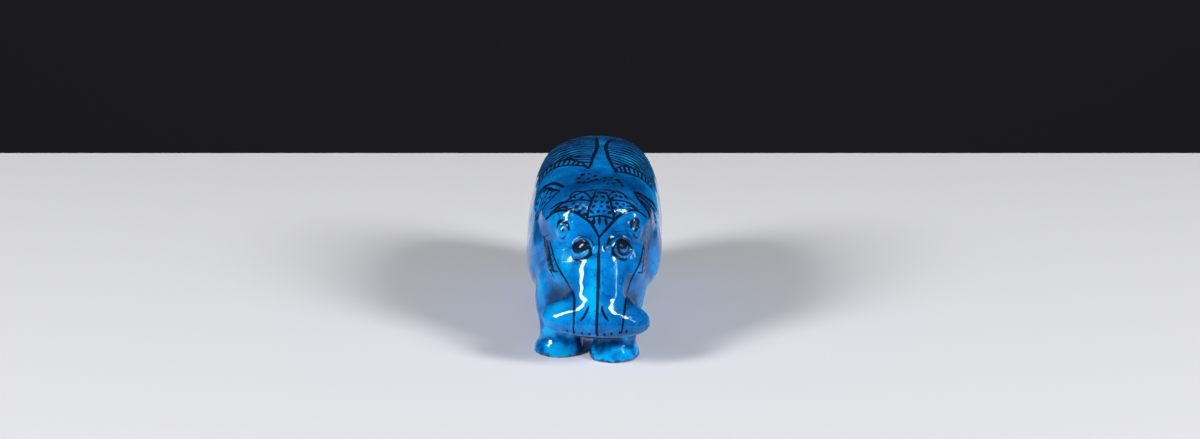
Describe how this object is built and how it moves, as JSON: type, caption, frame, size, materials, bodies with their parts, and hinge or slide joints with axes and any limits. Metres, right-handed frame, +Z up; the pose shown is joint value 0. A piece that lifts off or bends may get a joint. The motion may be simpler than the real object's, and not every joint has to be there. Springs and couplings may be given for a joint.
{
  "type": "hippopotamus figurine",
  "caption": "Glazed faience hippopotamus standing with lowered head, flared muzzle and short legs, modelled in one piece.",
  "frame": {"origin": "middle of the figure's outline, on the ground under it", "axes": "+Z up, -Y the way the muzzle points, +X to the right of somebody who looks the figure in the face"},
  "size_m": [0.0798, 0.2016, 0.099],
  "materials": {
    "glaze": "glossy crackled blue glaze with thin black-brown painted drawing"
  },
  "bodies": {
    "root": {"hippo": "glaze"}
  },
  "joints": []
}
